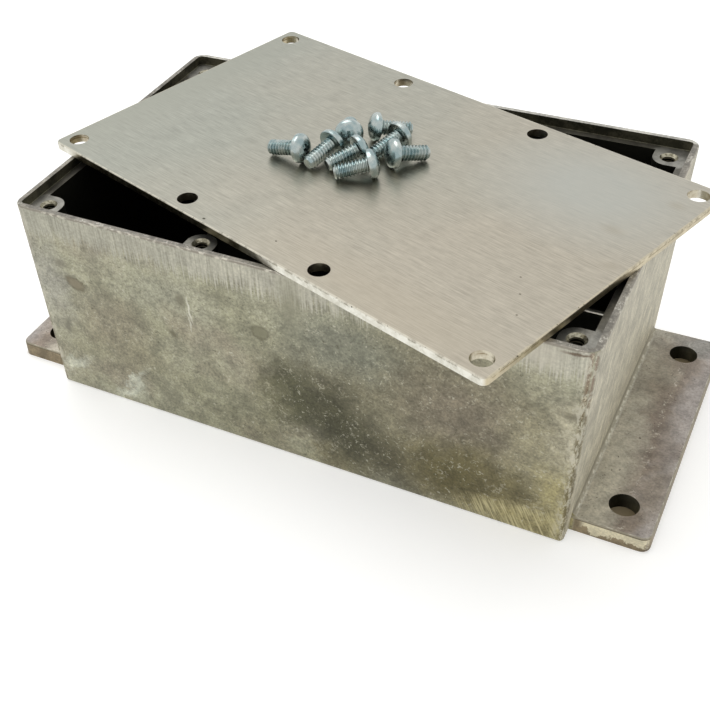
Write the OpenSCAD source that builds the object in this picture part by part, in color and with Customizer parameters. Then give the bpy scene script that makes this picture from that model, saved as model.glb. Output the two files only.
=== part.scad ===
// Die-cast aluminium project box with two mounting flanges, a flat sheet cover that lies
// askew on the rim, and the cover screws lying loose on the cover.
// X runs along the length, Y across, Z up. The origin is the middle of the mounting face.

/* [Box] */
// Outside length at the rim, without the flanges
box_l = 107.95; // [80:0.05:200]
// Outside width at the rim
box_w = 67.06; // [50:0.02:140]
// Height from the mounting face to the rim
box_h = 43.43; // [25:0.01:80]
// Draft of the walls, in degrees
wall_draft = 2; // [0.5:0.1:3]
// Radius of the upright outside corners at the bottom
corner_r = 0.9; // [0.7:0.1:3]
// Rounding of the outside bottom edge
bottom_r = 0.6; // [0.2:0.1:0.8]
// Thickness of the wall at the ledge
wall_t = 2.6; // [2:0.1:4]
// Thickness of the floor
floor_t = 2.5; // [1.5:0.1:4]
// Radius of the upright inside corners at the floor
inner_corner_r = 1.5; // [1.1:0.1:4]
// Fillet between the floor and the walls inside
floor_fillet = 1; // [0.3:0.1:1.4]

/* [Rim] */
// Thickness of the thin rim that stands round the cover
rim_t = 1.1; // [0.8:0.05:1.6]
// Depth of the recess that the cover drops into
recess_d = 1.9; // [1:0.05:3]
// Radius of the upright corners of the recess
recess_corner_r = 0.8; // [0.4:0.1:1]
// Rounding of the rim's outside edge
rim_edge_r = 0.3; // [0.1:0.05:0.5]

/* [Bosses] */
// Distance of the end screws from the rim's end faces
screw_inset_x = 4.52; // [4:0.02:8]
// Distance of the screws from the rim's long faces
screw_inset_y = 4.73; // [4:0.01:8]
// Screws in each row
screws_per_row = 4; // [2:1:5]
// Radius of a boss round its screw hole, at the ledge
boss_r = 2.9; // [2.4:0.1:4]
// Draft of the bosses, in degrees
boss_draft = 0.5; // [0.2:0.1:1]
// Diameter of the tapped hole
tap_d = 2.3; // [1.8:0.05:2.8]
// Depth of the tapped hole
tap_depth = 9.5; // [6:0.5:20]
// Width of the chamfer at the hole's mouth
tap_chamfer = 0.5; // [0.1:0.05:0.9]

/* [Flanges] */
// How far each flange reaches past the rim
flange_reach = 12; // [9:0.1:20]
// Thickness of the flanges
flange_t = 3.2; // [2:0.1:5]
// Distance of the flanges' sides from the rim's long faces
flange_inset = 5.18; // [0:0.02:15]
// Radius of the outer corners of the flanges
flange_corner_r = 1.8; // [0.6:0.1:4]
// Rounding of the flanges' upper edge
flange_edge_r = 0.4; // [0.1:0.1:0.8]
// Fillet between the flange and the end wall
flange_fillet = 0.9; // [0.3:0.1:1.4]
// Diameter of the mounting holes
flange_hole_d = 5.2; // [3:0.1:7]
// Distance of the mounting holes from the flange's end
flange_hole_back = 6.05; // [4:0.05:8]
// Distance of the mounting holes from the flange's sides
flange_hole_in = 6.3; // [4:0.1:20]

/* [Cover] */
// Thickness of the sheet
cover_t = 1.59; // [1:0.01:3]
// Gap between the cover and the rim on each side, when it is dropped in
cover_gap = 0.15; // [0.1:0.05:0.4]
// Corner radius of the cover
cover_corner_r = 1.2; // [0.9:0.1:3]
// Broken edge of the sheet
cover_edge = 0.15; // [0.05:0.05:0.3]
// Diameter of the screw holes in the cover
cover_hole_d = 3.8; // [3.2:0.1:4.4]
// Turn of the cover as it lies on the rim, in degrees
cover_turn = -18.6; // [-30:0.1:30]
// Shift of the cover along the length
cover_shift_x = 1.7; // [-5:0.1:5]
// Shift of the cover across the width
cover_shift_y = 0.4; // [-5:0.1:5]

/* [Screws] */
// Outside diameter of the thread
thread_d = 2.84; // [2:0.01:3.5]
// Length under the head
screw_len = 6.35; // [4:0.05:12]
// Chamfer at the end of the thread
tip_chamfer = 0.3; // [0.1:0.1:0.6]
// Diameter of the pan head
head_d = 5.4; // [4.5:0.1:7]
// Height of the pan head
head_h = 1.9; // [1.5:0.1:3]
// Height of the head's upright side, below its dome
head_side = 0.6; // [0.3:0.1:1]
// Span of the cross recess in the head
cross_span = 2.4; // [1.5:0.1:3.4]
// Width of one arm of the cross recess
cross_w = 0.7; // [0.5:0.1:1.2]
// Depth of the cross recess, below the top of the dome
cross_depth = 1; // [0.5:0.1:1.4]
// Gap left under a screw that lies on the cover
rest_gap = 0.05; // [0.02:0.01:0.2]

/* [Hidden] */
$fn = 64;
// Straight steps in a quarter arc of a profile
arc_steps = 5;
// How far a cut runs past the face that it opens
through = 1;
// How far a boss or fillet is rooted in the wall behind it
root = wall_t / 4;

// Insides of the walls at the ledge, and the step above it
inner_l = box_l - 2 * wall_t;
inner_w = box_w - 2 * wall_t;
ledge_z = box_h - recess_d;
recess_l = box_l - 2 * rim_t;
recess_w = box_w - 2 * rim_t;
cover_l = recess_l - 2 * cover_gap;
cover_w = recess_w - 2 * cover_gap;
flange_l = box_l + 2 * flange_reach;
flange_w = box_w - 2 * flange_inset;

// One pattern of screw places serves the bosses and the cover
screw_pitch_x = box_l - 2 * screw_inset_x;
screw_pitch_y = box_w - 2 * screw_inset_y;
screw_step = screw_pitch_x / (screws_per_row - 1);
screw_spots = [for (i = [0:screws_per_row - 1], side = [-1, 1])
    [i * screw_step - screw_pitch_x / 2, side * screw_pitch_y / 2]];

// Mounting holes in the flanges
flange_spots = [for (end = [-1, 1], side = [-1, 1])
    [end * (flange_l / 2 - flange_hole_back), side * (flange_w / 2 - flange_hole_in)]];

// How the screws lie on the cover: [x, y] of the head's seat, in pitches of the heap, and the turn
// from tip to head. The pitch grows with whatever size of the screw grows.
screw_lie = [
    [-1.95, -1.25, 14],
    [-1.3, -0.35, 92],
    [-1.35, 0.6, 312],
    [-0.35, -0.05, 72],
    [0.6, -0.5, 48],
    [-0.85, 1.55, 235],
    [0.1, 1.5, 84],
    [0.8, 0.6, 244]];
lie_pitch = max(head_d, 2.84 * head_h, 0.85 * screw_len, 1.9 * thread_d);
// A lying screw touches the cover with the head's lower edge and with the end of the thread
lie_tilt = atan((head_d - thread_d) / 2 / (screw_len - tip_chamfer));

// How far a drafted face moves sideways over a height
function drafted(height, angle = wall_draft) = height * tan(angle);

// Points of an arc about a centre, from one angle to another
function arc(centre, r, from, to) = [for (i = [0:arc_steps])
    let (a = from + (to - from) * i / arc_steps)
    centre + r * [cos(a), sin(a)]];

// Points of the head's dome, from its side up to the middle
function dome() = [for (i = [0:2 * arc_steps])
    let (a = 45 * i / arc_steps)
    [head_d / 2 * cos(a), head_side + (head_h - head_side) * sin(a)]];

// A block whose side profile runs round a rectangular core, with a turned corner at each end of
// its sides. Profile points are [reach past the core, height].
module swept_block(core_l, core_w, profile) {
    last = len(profile) - 1;
    module section(core)
        polygon(concat(
            [for (p = profile) [core / 2 + p[0], p[1]]],
            [for (i = [last:-1:0]) [-core / 2 - profile[i][0], profile[i][1]]]));
    rotate([90, 0, 0])
        linear_extrude(core_w, center = true)
            section(core_l);
    rotate([90, 0, 90])
        linear_extrude(core_l, center = true)
            section(core_w);
    for (x = [-1, 1], y = [-1, 1])
        translate([x * core_l / 2, y * core_w / 2, 0])
            rotate_extrude()
                polygon(concat([[0, profile[0][1]]], profile, [[0, profile[last][1]]]));
}

// Rectangle with round corners
module round_rect(l, w, r) {
    square([l - 2 * r, w], center = true);
    square([l, w - 2 * r], center = true);
    for (x = [-1, 1], y = [-1, 1])
        translate([x * (l / 2 - r), y * (w / 2 - r)])
            circle(r);
}

// Outside of the casting: drafted walls, a rounded bottom edge and a softened rim
module outer_form() {
    rim_r = corner_r + drafted(box_h);
    swept_block(box_l - 2 * rim_r, box_w - 2 * rim_r, concat(
        arc([corner_r - bottom_r, bottom_r], bottom_r, -90, 0),
        arc([rim_r - rim_edge_r, box_h - rim_edge_r], rim_edge_r, 0, 90)));
}

// Space inside the walls: a filleted floor and drafted sides up to the ledge
module inner_form() {
    ledge_r = inner_corner_r + drafted(ledge_z - floor_t);
    swept_block(inner_l - 2 * ledge_r, inner_w - 2 * ledge_r, concat(
        arc([inner_corner_r - floor_fillet, floor_t + floor_fillet], floor_fillet, -90, 0),
        [[ledge_r, ledge_z], [ledge_r, box_h + through]]));
}

// Step round the mouth that the cover drops into
module recess_form() {
    translate([0, 0, ledge_z])
        linear_extrude(recess_d + through)
            round_rect(recess_l, recess_w, recess_corner_r);
}

// Both flanges as one plate that runs through the bottom of the box
module flange_plate() {
    swept_block(flange_l - 2 * flange_corner_r, flange_w - 2 * flange_corner_r, concat(
        [[flange_corner_r, 0]],
        arc([flange_corner_r - flange_edge_r, flange_t - flange_edge_r], flange_edge_r, 0, 90)));
}

// Concave fillets where the flanges meet the end walls
module flange_fillets() {
    wall_x = box_l / 2 - drafted(box_h - flange_t);
    for (end = [0, 1])
        mirror([end, 0, 0])
            translate([wall_x, 0, flange_t])
                rotate([90, 0, 0])
                    linear_extrude(flange_w - 2 * flange_edge_r, center = true)
                        difference() {
                            translate([-root, -root])
                                square(flange_fillet + root);
                            translate([flange_fillet, flange_fillet])
                                circle(flange_fillet);
                        }
}

// Drafted web that carries a boss out to a wall, along +X
module boss_web(reach, foot_r) {
    rotate([90, 0, 90])
        linear_extrude(reach)
            polygon([[-foot_r, 0], [foot_r, 0], [boss_r, ledge_z], [-boss_r, ledge_z]]);
}

// One boss: a drafted post, joined to its long wall and, at the ends of a row, filled into the corner
module boss(spot) {
    foot_r = boss_r + drafted(ledge_z, boss_draft);
    reach_x = inner_l / 2 - abs(spot[0]) + root;
    reach_y = inner_w / 2 - abs(spot[1]) + root;
    at_end = abs(spot[0]) > screw_pitch_x / 2 - boss_r;
    translate(spot)
        mirror([spot[0] < 0 ? 1 : 0, 0, 0])
            mirror([0, spot[1] < 0 ? 1 : 0, 0]) {
                cylinder(r1 = foot_r, r2 = boss_r, h = ledge_z);
                rotate([0, 0, 90])
                    boss_web(reach_y, foot_r);
                if (at_end) {
                    boss_web(reach_x, foot_r);
                    cube([reach_x, reach_y, ledge_z]);
                }
            }
}

// Tapped hole with a chamfered mouth
module tapped_hole(spot) {
    translate([spot[0], spot[1], ledge_z - tap_depth])
        cylinder(d = tap_d, h = tap_depth + through);
    translate([spot[0], spot[1], ledge_z - tap_chamfer])
        cylinder(d1 = tap_d, d2 = tap_d + 2 * tap_chamfer, h = tap_chamfer);
}

// The casting
module box_body() {
    color("#8a877b")
        difference() {
            union() {
                difference() {
                    union() {
                        outer_form();
                        flange_plate();
                        flange_fillets();
                    }
                    inner_form();
                }
                intersection() {
                    outer_form();
                    union()
                        for (spot = screw_spots)
                            boss(spot);
                }
            }
            recess_form();
            for (spot = screw_spots)
                tapped_hole(spot);
            for (spot = flange_spots)
                translate([spot[0], spot[1], -through])
                    cylinder(d = flange_hole_d, h = flange_t + 2 * through);
        }
}

// Moves the cover, and what lies on it, to where it rests on the rim
module on_rim() {
    translate([cover_shift_x, cover_shift_y, box_h])
        rotate([0, 0, cover_turn])
            children();
}

// The flat sheet cover
module cover_plate() {
    low_r = cover_corner_r - cover_edge;
    color("#bebbac")
        on_rim()
            difference() {
                swept_block(cover_l - 2 * cover_corner_r, cover_w - 2 * cover_corner_r, [
                    [low_r, 0],
                    [cover_corner_r, cover_edge],
                    [cover_corner_r, cover_t - cover_edge],
                    [low_r, cover_t]]);
                for (spot = screw_spots)
                    translate([spot[0], spot[1], -through])
                        cylinder(d = cover_hole_d, h = cover_t + 2 * through);
            }
}

// One pan-head screw, head up, with the seat of the head at the origin
module screw() {
    difference() {
        rotate_extrude()
            polygon(concat(
                [[0, -screw_len], [thread_d / 2 - tip_chamfer, -screw_len]],
                [[thread_d / 2, tip_chamfer - screw_len], [thread_d / 2, 0], [head_d / 2, 0]],
                dome()));
        for (arm = [0, 90])
            rotate([0, 0, arm])
                translate([-cross_span / 2, -cross_w / 2, head_h - cross_depth])
                    cube([cross_span, cross_w, cross_depth + through]);
    }
}

// A screw laid down with its head towards +X
module lying_screw() {
    translate([0, 0, head_d / 2 * cos(lie_tilt) + rest_gap])
        rotate([0, 90 - lie_tilt, 0])
            screw();
}

// The loose cover screws, lying on the cover
module cover_screws() {
    color("#a9b3b4")
        on_rim()
            for (lie = screw_lie)
                translate([lie[0] * lie_pitch, lie[1] * lie_pitch, cover_t])
                    rotate([0, 0, lie[2]])
                        lying_screw();
}

box_body();
cover_plate();
cover_screws();
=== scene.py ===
# %% [markdown]
# # A worn die-cast aluminium project box
# A cast box with a mounting flange at each end, a flat sheet cover that lies askew on the rim, and
# eight small screws that lie on the cover. Their sizes and places come from the imported model. This
# script gives the casting and the sheet their worn finish, with some painted light, shade and
# reflection, makes screws with real threads and sets up a plain studio.

# %% Load the imported model
import math

import bmesh
import bpy
import numpy as np
from mathutils import Matrix, Vector


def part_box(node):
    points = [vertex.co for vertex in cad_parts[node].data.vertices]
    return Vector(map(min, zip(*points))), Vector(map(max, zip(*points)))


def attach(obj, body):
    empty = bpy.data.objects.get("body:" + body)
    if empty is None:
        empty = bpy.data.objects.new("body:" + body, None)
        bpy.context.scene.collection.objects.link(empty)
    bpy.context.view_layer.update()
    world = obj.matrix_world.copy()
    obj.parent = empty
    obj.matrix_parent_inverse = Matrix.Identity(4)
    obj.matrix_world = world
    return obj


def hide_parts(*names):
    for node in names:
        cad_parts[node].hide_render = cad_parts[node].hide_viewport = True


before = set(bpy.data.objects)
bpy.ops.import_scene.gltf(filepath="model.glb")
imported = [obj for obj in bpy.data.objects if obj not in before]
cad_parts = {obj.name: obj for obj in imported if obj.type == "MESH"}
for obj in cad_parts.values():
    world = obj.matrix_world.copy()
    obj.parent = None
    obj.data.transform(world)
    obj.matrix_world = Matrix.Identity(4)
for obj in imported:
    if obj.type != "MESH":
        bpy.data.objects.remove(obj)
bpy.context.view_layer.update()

MM = 0.001
for name in sorted(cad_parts):
    low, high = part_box(name)
    print(name, "measures", [round(side / MM, 2) for side in high - low], "mm")

# %% [markdown]
# ## Camera
# The photograph was taken from the front right, looking down. A camera can be turned by eye until
# the picture fits. Here the sizes of the box are known, so its corners and holes gave the camera's
# place and lens. The photograph was cropped, and the lens shift puts its optical axis back in place.

# %% Camera
IMAGE_W, IMAGE_H = 710, 720
AXIS_PX = 259
FOCAL_PX = 1128
SENSOR_MM = 36
CLIP_START_M = 0.01
CAMERA_AT = Vector((77, -163.6, 150.9)) * MM
CAMERA_LOOK = Vector((-0.4053, 0.6519, -0.6409)).normalized()
CAMERA_UP = Vector((-0.2594, 0.5902, 0.7644))

scene = bpy.context.scene


def put(name, data):
    """Makes an object at the origin and puts it in the scene."""
    piece = bpy.data.objects.new(name, data)
    scene.collection.objects.link(piece)
    return piece


camera = put("camera", bpy.data.cameras.new("camera"))
scene.camera = camera
camera.data.sensor_width = SENSOR_MM
camera.data.lens = FOCAL_PX * SENSOR_MM / max(IMAGE_W, IMAGE_H)
camera.data.shift_x = (IMAGE_W / 2 - AXIS_PX) / max(IMAGE_W, IMAGE_H)
camera.data.clip_start = CLIP_START_M
right = CAMERA_LOOK.cross(CAMERA_UP).normalized()
above = right.cross(CAMERA_LOOK)
turn = Matrix((right, above, -CAMERA_LOOK)).transposed()
camera.matrix_world = Matrix.Translation(CAMERA_AT) @ turn.to_4x4()
print("lens", round(camera.data.lens, 2), "mm, shift", round(camera.data.shift_x, 3))

# %% [markdown]
# ## Helpers for colours and nodes
# Colours are written as sRGB hex codes, as a paint chart has them, and Blender wants linear light.
# Nodes could be wired one by one, but one small function is easier to read. Its inputs are a list in
# socket order or a dictionary. Another node's output becomes a link, and a hex code its colour.


# %% Helpers for colours and nodes
def ink(code):
    """Linear RGBA of an sRGB hex code."""
    parts = [int(code[i:i + 2], 16) / 255 for i in (1, 3, 5)]
    return [p / 12.92 if p <= 0.04045 else ((p + 0.055) / 1.055) ** 2.4 for p in parts] + [1]


def add(tree, kind, inputs=(), out=0, **settings):
    """Adds a shader node and gives back one of its outputs, if it has any."""
    node = tree.nodes.new("ShaderNode" + kind)
    for key, value in settings.items():
        setattr(node, key, value)
    for key, value in inputs.items() if isinstance(inputs, dict) else enumerate(inputs):
        if isinstance(value, bpy.types.NodeSocket):
            tree.links.new(value, node.inputs[key])
        else:
            node.inputs[key].default_value = ink(value) if isinstance(value, str) else value
    return node.outputs[out] if node.outputs else None


print("mid grey is", [round(part, 3) for part in ink("#808080")])

# %% [markdown]
# ## Studio: white surround
# The box is seen in soft light from all sides, as in a light tent. Several large lamps could give
# that, but a white world is simpler and leaves no lamp shapes in the metal. It is white for the
# camera and in reflections, and a little weaker as light.

# %% White surround
WORLD_LIGHT = 0.72


def seen_directly(tree):
    """1 for rays that show a thing to the eye or in a reflection, 0 for rays that only carry light."""
    rays = add(tree, "LightPath").node.outputs
    seen = add(tree, "Math", [rays["Is Camera Ray"], rays["Is Glossy Ray"]], operation="MAXIMUM")
    return add(tree, "Math", [seen, rays["Is Transmission Ray"]], operation="MAXIMUM")


scene.view_settings.view_transform = "Standard"
scene.world = bpy.data.worlds.new("white_surround")
scene.world.use_nodes = True
tree = scene.world.node_tree
tree.nodes.clear()
strength = add(tree, "MapRange", [seen_directly(tree), 0, 1, WORLD_LIGHT, 1])
sky = add(tree, "Background", {"Color": (1, 1, 1, 1), "Strength": strength})
add(tree, "OutputWorld", {"Surface": sky})
print("surround lights at", WORLD_LIGHT)

# %% [markdown]
# ## Studio: white paper
# The floor is paper. Brighter lamps would make it white and burn out the metal too, so it gets a
# little light of its own, which only the eye and reflections see, and keeps a soft shadow. Under the
# box, where it shows through the flange holes, it is painted tan, a painted shadow, and has no light
# of its own.

# %% White paper
FLOOR_OWN_LIGHT = 0.42
UNDER_X, UNDER_Y = 65, 27.5


def new_material(name):
    """Makes a material with an empty node tree, and gives back both."""
    material = bpy.data.materials.new(name)
    material.use_nodes = True
    material.node_tree.nodes.clear()
    return material, material.node_tree


def place_in_mm(tree):
    """Where a point lies on its object, in millimetres."""
    place = add(tree, "TexCoord", out="Object")
    return add(tree, "VectorMath", {0: place, "Scale": 1 / MM}, operation="SCALE")


def region(tree, *limits, strength=1.0):
    """Mask: its strength where every value has passed its second limit, 0 where any is before its first."""
    mask = strength
    for value, first, second in limits:
        passed = add(tree, "MapRange", [value, first, second])
        mask = add(tree, "Math", [passed, mask], operation="MULTIPLY")
    return mask


# Matt paper gives the eye an even, pale ground with no gloss
paper, tree = new_material("white_paper")
spot = add(tree, "VectorMath", [place_in_mm(tree)], operation="ABSOLUTE")
floor_x, floor_y, _ = add(tree, "SeparateXYZ", [spot]).node.outputs
under = region(tree, (floor_x, UNDER_X + 1, UNDER_X), (floor_y, UNDER_Y + 1, UNDER_Y))
own = region(tree, (seen_directly(tree), 0, 1), (under, 1, 0), strength=FLOOR_OWN_LIGHT)
# Painted shadow: under the box the paper is painted tan
shade = add(tree, "Mix", {0: under, 6: "#e8e8e6", 7: "#a5967a"}, out=2, data_type="RGBA")
matt = add(tree, "BsdfDiffuse", {"Color": shade})
glow = add(tree, "Emission", {"Strength": own})
both = add(tree, "AddShader", [matt, glow])
add(tree, "OutputMaterial", {"Surface": both})
print("paper:", len(tree.nodes), "nodes")

# %% [markdown]
# ## Studio: floor
# The paper lies flat under the box. A curved sweep would hide the horizon, but the camera looks down
# and sees none, so one large square is enough.

# %% Floor
FLOOR_M = 3.0


def as_mesh(shape, name):
    """Turns a bmesh into a mesh and frees it."""
    mesh = bpy.data.meshes.new(name)
    shape.to_mesh(mesh)
    shape.free()
    return mesh


ground = bmesh.new()
bmesh.ops.create_grid(ground, x_segments=1, y_segments=1, size=FLOOR_M / 2)
floor = put("floor", as_mesh(ground, "floor"))
floor.data.materials.append(paper)
print("floor", FLOOR_M, "m wide")

# %% [markdown]
# ## Studio: lamp
# Light from all sides alone leaves a box flat. A sun would draw hard shadows, so one broad lamp
# overhead, a little to the left and behind, gives the light a direction.

# %% Lamp
LAMP_AT = Vector((-0.35, 0.15, 0.95))
LAMP_SIZE_M = 0.7
LAMP_WATTS = 3.2

lamp = put("overhead", bpy.data.lights.new("overhead", "AREA"))
lamp.data.size = LAMP_SIZE_M
lamp.data.energy = LAMP_WATTS
lamp.location = LAMP_AT
lamp.rotation_mode = "QUATERNION"
lamp.rotation_quaternion = (-LAMP_AT).to_track_quat("-Z", "Y")
print("lamp", round(LAMP_AT.length, 2), "m from the box")

# %% [markdown]
# ## The casting: where a point lies
# The box is one casting, so it has one material, whose finish changes from place to place. The mesh
# could be cut into parts with a material each, but the finishes run into each other, and Object
# coordinates tell as well where a point lies. The walls lean out by the casting's draft, and taking
# the lean away gives the distance of any point from the outside skin.

# %% Places on the casting
FLANGE_REACH = 12
DRAFT_DEG = 2
FAR_STAINS_AND_REFLECTION = 0.5
WALL_SLOPE = math.tan(math.radians(DRAFT_DEG))
body_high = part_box("box_body")[1] / MM
HALF_L = body_high.x - FLANGE_REACH
HALF_W = body_high.y
RIM_Z = body_high.z

# A tarnished die casting gives the eye a dull, cloudy grey metal with bright rubbed places
cast, tree = new_material("die_cast_aluminium")
spot = place_in_mm(tree)
x, y, z = add(tree, "SeparateXYZ", [spot]).node.outputs
normal = add(tree, "TexCoord", out="Normal")
nx, ny, nz = add(tree, "SeparateXYZ", [normal]).node.outputs
unsigned = add(tree, "VectorMath", [spot], operation="ABSOLUTE")
off_x, off_y, _ = add(tree, "SeparateXYZ", [unsigned]).node.outputs
turned = add(tree, "VectorMath", [normal], operation="ABSOLUTE")
turned_x, turned_y, turned_z = add(tree, "SeparateXYZ", [turned]).node.outputs
lean = add(tree, "Math", [z, -WALL_SLOPE, RIM_Z * WALL_SLOPE], operation="MULTIPLY_ADD")
leant_x = add(tree, "Math", [off_x, lean], operation="ADD")
gap_x = add(tree, "Math", [HALF_L, leant_x], operation="SUBTRACT")
leant_y = add(tree, "Math", [off_y, lean], operation="ADD")
gap_y = add(tree, "Math", [HALF_W, leant_y], operation="SUBTRACT")
inset = add(tree, "Math", [gap_x, gap_y], operation="MINIMUM")
past_wall = add(tree, "Math", [gap_x, -1], operation="MULTIPLY")
is_end = add(tree, "Math", [turned_x, turned_y], operation="GREATER_THAN")
along = add(tree, "Mix", {0: is_end, 2: x, 3: y})
# Limits that an upright face and a face that looks up have passed
upright = (turned_z, 0.5, 0.3)
upward = (nz, 0.6, 0.8)
outer = region(tree, (inset, 0.7, 0.4), (gap_x, -0.5, -0.2), upright)
is_near = region(tree, (ny, -0.5, -0.6), (inset, 0.6, 0.4))
is_far = region(tree, (ny, 0.5, 0.6), (inset, 0.6, 0.4), strength=FAR_STAINS_AND_REFLECTION)
stain_and_reflection_walls = add(tree, "Math", [is_near, is_far], operation="ADD")
print("rim", round(2 * HALF_L, 2), "x", round(2 * HALF_W, 2), "mm at height", round(RIM_Z, 2))

# %% [markdown]
# ## The casting: as-cast skin
# A die casting comes out of its tool with a grey skin that flow marks, release agent and tarnish
# leave cloudy. One noise could drive a long colour ramp, but layers are easier to match one by one. A
# finish here is a pair of a colour and a roughness, and each step lays another over part of the one
# before. First come clouds of two greys and a brown. The W of a noise only sets it apart from others.

# %% As-cast skin
CLOUD_MM = 13
BROWN_MM = 17
SKIN_ROUGH = 0.45
# Noise lies mostly near 0.5: the closer a pair of limits is, the harder the change that it gives
WIDE = (0.3, 0.7)
MIDDLING = (0.35, 0.65)
CLOSE = (0.38, 0.62)
TIGHT = (0.4, 0.6)


def lay(tree, below, mask, colour, roughness):
    """Lays a finish, which is a colour and a roughness, over the one below where its mask is 1."""
    return (add(tree, "Mix", {0: mask, 6: below[0], 7: colour}, out=2, data_type="RGBA"),
            add(tree, "Mix", {0: mask, 2: below[1], 3: roughness}))


def two_tone(tree, pattern, low, high, first, second):
    """Colour that goes from a first one to a second as a pattern goes from low to high."""
    amount = add(tree, "MapRange", [pattern, low, high])
    return add(tree, "Mix", {0: amount, 6: first, 7: second}, out=2, data_type="RGBA")


clouds = add(tree, "TexNoise", {"Vector": spot, "Scale": 1 / CLOUD_MM, "Detail": 4, "Roughness": 0.6})
brown = add(tree, "TexNoise", {"Vector": spot, "Scale": 1 / BROWN_MM, "Detail": 4, "W": 1},
            noise_dimensions="4D")
finish = (two_tone(tree, clouds, *TIGHT, "#989680", "#a7a590"), SKIN_ROUGH)
browned = region(tree, (brown, 0.5, 0.62), strength=0.45)
finish = lay(tree, finish, browned, "#968b7b", SKIN_ROUGH)
print("as-cast skin:", len(tree.nodes), "nodes")

# %% [markdown]
# ## The casting: one oval mark
# Stains, dried drops and scratches are marks with an edge that is more or less soft, and so are the
# patches of painted light and painted reflection further on. They could be painted on a map, but an
# oval with a place, a lean and a softness needs only a row of numbers. Noise pushes the coordinates
# about, so that the ovals have ragged edges.

# %% One oval mark
STAIN_WARP_MM = 5
STAIN_PUSH_MM = 10


def lay_oval_mark(tree, at, finish, mark, where):
    """Lays one oval mark over a finish, inside the mask that says where."""
    code, mid_x, mid_y, half_w, half_h, lean_deg, soft, strength = mark
    cos, sin = math.cos(math.radians(lean_deg)), math.sin(math.radians(lean_deg))
    off = add(tree, "VectorMath", [at, (mid_x, mid_y, 0)], operation="SUBTRACT")
    across = add(tree, "VectorMath", [off, (cos / half_w, sin / half_w, 0)], out=1,
                 operation="DOT_PRODUCT")
    up = add(tree, "VectorMath", [off, (-sin / half_h, cos / half_h, 0)], out=1,
             operation="DOT_PRODUCT")
    square = add(tree, "Math", [across, across], operation="MULTIPLY")
    squares = add(tree, "Math", [up, up, square], operation="MULTIPLY_ADD")
    away = add(tree, "Math", [squares], operation="SQRT")
    mask = region(tree, (away, 1 + soft, 1 - soft), (where, 0, 1), strength=strength)
    return lay(tree, finish, mask, code, SKIN_ROUGH)


wall = add(tree, "CombineXYZ", [x, z, 0])
push = add(tree, "TexNoise", {"Vector": spot, "Scale": 1 / STAIN_WARP_MM, "Detail": 5, "Roughness": 0.7},
           out=1)
push = add(tree, "VectorMath", [push, (0.5, 0.5, 0.5)], operation="SUBTRACT")
ragged_wall = add(tree, "VectorMath", [push, (STAIN_PUSH_MM, STAIN_PUSH_MM, 0), wall],
                  operation="MULTIPLY_ADD")
print("marks are pushed by at most", STAIN_PUSH_MM / 2, "mm")

# %% [markdown]
# ## The casting: stains and a painted reflection
# The long walls have marks of their own: a dull dark side, a dark cloud, which is a painted
# reflection, an olive foot and pale scuffs. Noise alone can't put them where they are, so each has
# its row. The far wall has the same marks, fainter.

# %% Stains and a painted reflection on the long walls
STAINS_AND_PAINTED_REFLECTION = [
    # colour, x, z, half width, half height, lean in degrees, softness, strength
    ("#827d68", 28, 19, 27, 20, 0, 0.25, 0.9),
    ("#848678", 12, 31, 10, 6, 0, 0.5, 0.7),
    ("#82786a", 33, 23, 9, 8, 0, 0.6, 0.6),
    ("#736b4a", 36, 9, 13, 7, 0, 0.5, 0.8),
    # The next four dark ovals make the dark cloud, a painted reflection
    ("#484736", 8, 14, 8, 8, 0, 0.6, 0.85),
    ("#4a4937", 14, 8.5, 6, 6, 0, 0.7, 0.75),
    ("#524f3d", 21, 5, 4, 5, 0, 0.6, 0.6),
    ("#54533f", 1.5, 16, 4.5, 8, 0, 0.4, 0.85),
    ("#5c5639", 32, 8, 5, 4, 0, 0.7, 0.65),
    ("#7d775a", 9, 2.5, 7, 3, 0, 0.6, 0.6),
    ("#9d9368", 47, 2.2, 10, 4.2, 0, 0.5, 0.8),
    ("#a09a80", 46, 20, 4.5, 7, 0, 0.6, 0.7),
    ("#b8b29c", 51, 24, 2.8, 7, 0, 0.6, 0.85),
    ("#aba278", 50.5, 10, 3.4, 7, 0, 0.6, 0.8),
    ("#a5a48e", 2.5, 3, 3, 2.5, 0, 0.5, 0.6),
    ("#858268", -3.5, 10, 4, 9, 0, 0.6, 0.6),
    ("#88866e", -13, 8, 7, 7, 0, 0.7, 0.5),
    ("#8b8770", -36, 15, 13, 6, 0, 0.6, 0.6),
    ("#8d8572", -36, 21.5, 7, 6, 20, 0.5, 0.6),
    ("#a8a795", -24, 32, 7, 4, 0, 0.6, 0.6),
    ("#a4a29a", -50, 27, 4.5, 10, 0, 0.6, 0.6),
    ("#cfd1c2", -35, 5, 1.3, 5, -38, 0.5, 0.85),
    ("#b2b4a2", -33, 4.5, 2, 2.8, -20, 0.6, 0.6),
    ("#c3c4b4", -48.5, 6.5, 1.4, 4.5, -58, 0.5, 0.75),
]
for mark in STAINS_AND_PAINTED_REFLECTION:
    finish = lay_oval_mark(tree, ragged_wall, finish, mark, stain_and_reflection_walls)
print(len(STAINS_AND_PAINTED_REFLECTION), "stains on each long wall")

# %% [markdown]
# ## The casting: mottling, flecks and pores
# All of the skin is mottled. A second colour could be mixed in, but a shade that multiplies keeps the
# tone of what lies below. Bright flecks are where the skin is rubbed through, and bright worm marks
# follow the lines on which another noise is exactly half. Small dark pits are pores.

# %% Mottling, flecks and pores
MOTTLE_MM = 3.5
GRAIN_MM = 0.45
FLECK_MM = 0.8
WORM_MM = 1.7
WORM_PATCH_MM = 2.8
RUBBED_ROUGH = 0.35
PIT_ROUGH = 0.6


def shaded(tree, colour, *shades):
    """Multiplies a colour by shades that run from dark to light as a pattern runs from low to high."""
    for pattern, low, high, dark, light in shades:
        shade = add(tree, "MapRange", [pattern, low, high, dark, light])
        colour = add(tree, "HueSaturation", {"Color": colour, "Value": shade})
    return colour


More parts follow.
